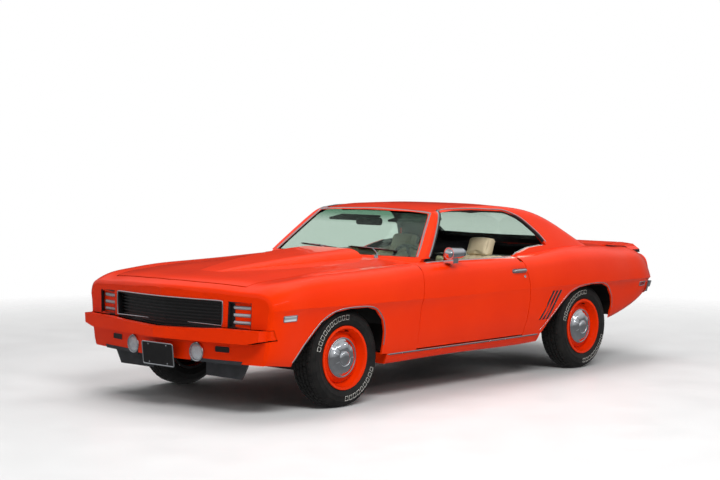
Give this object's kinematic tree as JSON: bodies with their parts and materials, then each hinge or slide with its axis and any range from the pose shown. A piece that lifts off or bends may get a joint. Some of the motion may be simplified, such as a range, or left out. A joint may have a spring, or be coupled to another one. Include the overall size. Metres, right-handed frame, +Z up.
{
  "type": "muscle car",
  "caption": "Low two-door hardtop muscle car with a long hood, short rear deck, opening doors and lids, steering and rolling wheels.",
  "frame": {"origin": "on the ground under the middle of the car's overall box", "axes": "-Y towards the nose, +X towards the car's left side, +Z up"},
  "size_m": [1.8912, 4.73, 1.2967],
  "materials": {
    "paint": "gloss orange-red",
    "black_metal": "satin black",
    "underside": "matt black",
    "chrome": "polished",
    "glass": "lightly tinted",
    "tyre": "matt",
    "grille": "black",
    "lamp": "clear",
    "red_lamp": "red lens",
    "trim": "parchment",
    "dash": "black",
    "rim_trim": "dark",
    "iron": "engine paint",
    "steel": "bare",
    "dark_plastic": "dark grey"
  },
  "bodies": {
    "body": {"cowl_panel": "paint", "fender_left": "paint", "fender_right": "paint", "nose_panel": "paint", "front_valance": "paint", "roof_panel": "paint", "quarter_left": "paint", "quarter_right": "paint", "rear_deck_panel": "paint", "tail_panel": "paint", "rear_valance": "paint", "sill_left": "paint", "sill_right": "paint", "windshield": "glass", "rear_window": "glass", "front_bumper": "paint", "rear_bumper": "chrome", "grille": "grille", "headlamp_covers": "paint", "headlamps": "lamp", "tail_lamps": "red_lamp", "front_air_dam": "dark_plastic", "floor_pan": "underside", "trunk_floor": "underside", "firewall": "underside", "front_subframe": "black_metal", "inner_fenders": "underside", "rear_wheelhouses": "underside", "engine_block": "iron", "radiator": "black_metal", "driveline": "steel", "rear_axle": "black_metal", "fuel_tank": "steel", "exhaust_system": "steel", "dashboard": "dash", "front_seats": "trim", "rear_seat": "trim", "steering_column": "dash"},
    "left_door": {"door_left": "paint", "door_mirror": "chrome"},
    "right_door": {"door_right": "paint"},
    "hood_lid": {"hood": "paint"},
    "boot_lid": {"trunk_lid": "paint", "rear_spoiler": "paint"},
    "steering": {"steering_wheel": "rim_trim"},
    "left_knuckle": {"knuckle_left": "steel"},
    "right_knuckle": {"knuckle_right": "steel"},
    "front_left_wheel": {"tyre_front_left": "tyre", "wheel_front_left": "paint"},
    "front_right_wheel": {"tyre_front_right": "tyre", "wheel_front_right": "paint"},
    "rear_left_wheel": {"tyre_rear_left": "tyre", "wheel_rear_left": "paint"},
    "rear_right_wheel": {"tyre_rear_right": "tyre", "wheel_rear_right": "paint"}
  },
  "joints": [
    {"name": "left_door_hinge", "type": "hinge", "parent": "body", "child": "left_door", "pos_m": [0.928, -0.628, 0.62], "axis": [0, 0, -1], "range_deg": [0, 62]},
    {"name": "right_door_hinge", "type": "hinge", "parent": "body", "child": "right_door", "pos_m": [-0.928, -0.628, 0.62], "axis": [0, 0, 1], "range_deg": [0, 62]},
    {"name": "hood_hinge", "type": "hinge", "parent": "body", "child": "hood_lid", "pos_m": [0, -0.6445, 0.925], "axis": [-1, 0, 0], "range_deg": [0, 50]},
    {"name": "boot_hinge", "type": "hinge", "parent": "body", "child": "boot_lid", "pos_m": [0, 1.584, 0.957], "axis": [1, 0, 0], "range_deg": [0, 58]},
    {"name": "left_steer", "type": "hinge", "parent": "body", "child": "left_knuckle", "pos_m": [0.655, -1.426, 0.328], "axis": [0, 0, 1], "range_deg": [-30, 30]},
    {"name": "right_steer", "type": "hinge", "parent": "body", "child": "right_knuckle", "pos_m": [-0.655, -1.426, 0.328], "axis": [0, 0, 1], "range_deg": [-30, 30]},
    {"name": "steering_wheel_turn", "type": "hinge", "parent": "body", "child": "steering", "pos_m": [0.3666, -0.17818, 0.82713], "axis": [0, 0.9397, 0.342], "range_deg": [-480, 480]},
    {"name": "front_left_spin", "type": "hinge", "parent": "left_knuckle", "child": "front_left_wheel", "pos_m": [0.756, -1.426, 0.328], "axis": [1, 0, 0], "continuous": true},
    {"name": "front_right_spin", "type": "hinge", "parent": "right_knuckle", "child": "front_right_wheel", "pos_m": [-0.756, -1.426, 0.328], "axis": [1, 0, 0], "continuous": true},
    {"name": "rear_left_spin", "type": "hinge", "parent": "body", "child": "rear_left_wheel", "pos_m": [0.756, 1.317, 0.328], "axis": [1, 0, 0], "continuous": true},
    {"name": "rear_right_spin", "type": "hinge", "parent": "body", "child": "rear_right_wheel", "pos_m": [-0.756, 1.317, 0.328], "axis": [1, 0, 0], "continuous": true}
  ],
  "couplings": [
    {"joint": "right_steer", "follows": "left_steer", "ratio": 1},
    {"joint": "steering_wheel_turn", "follows": "left_steer", "ratio": 16}
  ]
}
